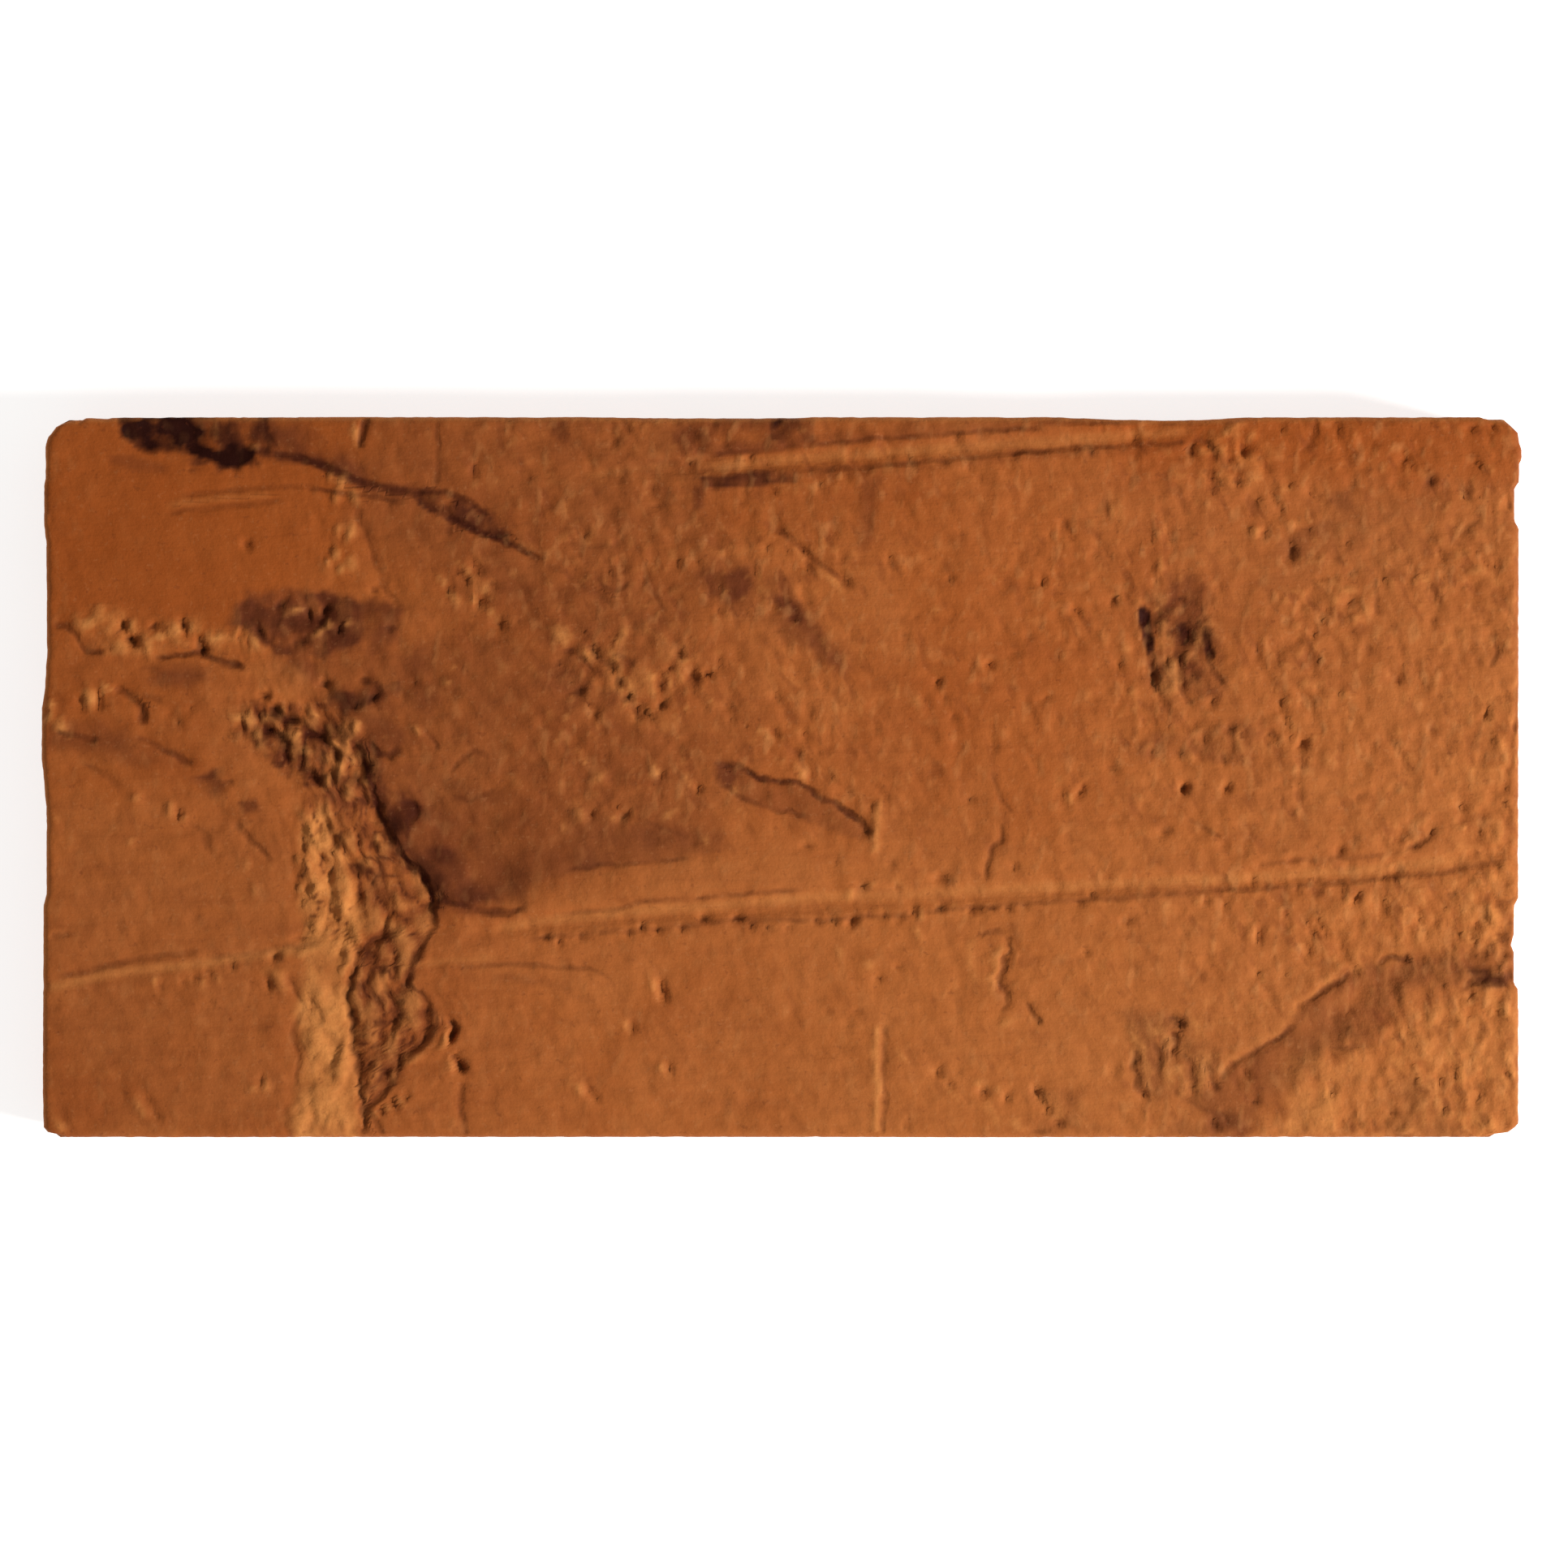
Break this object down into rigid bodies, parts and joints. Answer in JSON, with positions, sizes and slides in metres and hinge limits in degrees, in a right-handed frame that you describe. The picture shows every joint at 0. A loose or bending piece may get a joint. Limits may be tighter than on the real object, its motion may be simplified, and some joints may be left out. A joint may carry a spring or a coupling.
{
  "type": "handmade wall tile",
  "caption": "Thin rectangular handmade terracotta wall tile, twice as long as wide, with a hand-struck face, drag grooves, a torn fold and worn, wavy edges.",
  "frame": {"origin": "middle of the flat back of the tile", "axes": "+X along the tile's length, +Y across it towards the upper long edge as seen from the face, +Z out of the struck face, through the thickness"},
  "size_m": [0.203, 0.0988, 0.0128],
  "materials": {
    "terracotta": "unglazed fired clay, matt and gritty"
  },
  "bodies": {
    "root": {"tile": "terracotta"}
  },
  "joints": []
}
